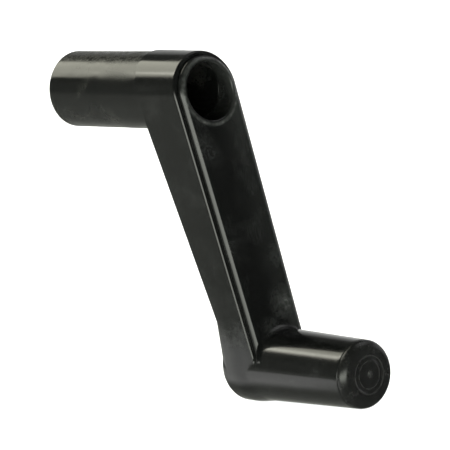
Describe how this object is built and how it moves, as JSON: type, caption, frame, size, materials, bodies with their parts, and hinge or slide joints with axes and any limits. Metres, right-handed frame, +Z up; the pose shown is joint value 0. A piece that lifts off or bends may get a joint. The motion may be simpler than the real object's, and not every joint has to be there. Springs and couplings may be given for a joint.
{
  "type": "winch handle",
  "caption": "Z-shaped crank handle for a small boat winch: hub tube with a steel drive bush and clamp screw, covered arm and fixed moulded grip.",
  "frame": {"origin": "mouth of the drive bore, on the hub axis at the rear end of the hub tube", "axes": "+Y along the hub axis, out of the drive bore towards the winch; +Z up, so the arm hangs down (-Z); the grip points forward (-Y); X is across the arm"},
  "size_m": [0.0262, 0.122, 0.116],
  "materials": {
    "arm_plastic": "glossy moulded black",
    "cover_plastic": "glossy moulded black",
    "tube_plastic": "glossy moulded black",
    "cap_plastic": "satin rim, fine matt face",
    "spring_steel": "phosphated spring steel",
    "key_steel": "ground bright steel",
    "bush_steel": "turned, zinc plated",
    "washer_steel": "stamped, zinc plated",
    "pad_brass": "turned brass",
    "black_steel": "black oxide",
    "screw_steel": "stainless, pan head"
  },
  "bodies": {
    "handle": {"arm_body": "arm_plastic", "front_cover": "cover_plastic", "hub_sleeve": "tube_plastic", "retaining_ring": "spring_steel", "hub_key": "key_steel", "drive_bush": "bush_steel", "thrust_washer": "washer_steel", "cover_screw_upper": "screw_steel", "cover_screw_lower": "screw_steel", "grip_cap": "cap_plastic"},
    "pad": {"clamp_pad": "pad_brass"},
    "screw": {"clamp_screw": "black_steel"}
  },
  "joints": [
    {"name": "clamp_travel", "type": "slide", "parent": "handle", "child": "pad", "axis": [0, 0, 1], "range_m": [0, 0.002]},
    {"name": "clamp_turn", "type": "hinge", "parent": "pad", "child": "screw", "pos_m": [0, -0.012, -0.01], "axis": [0, 0, 1], "range_deg": [0, 720]}
  ],
  "couplings": [
    {"joint": "clamp_turn", "follows": "clamp_travel", "rad_per_m": 6283.2}
  ]
}
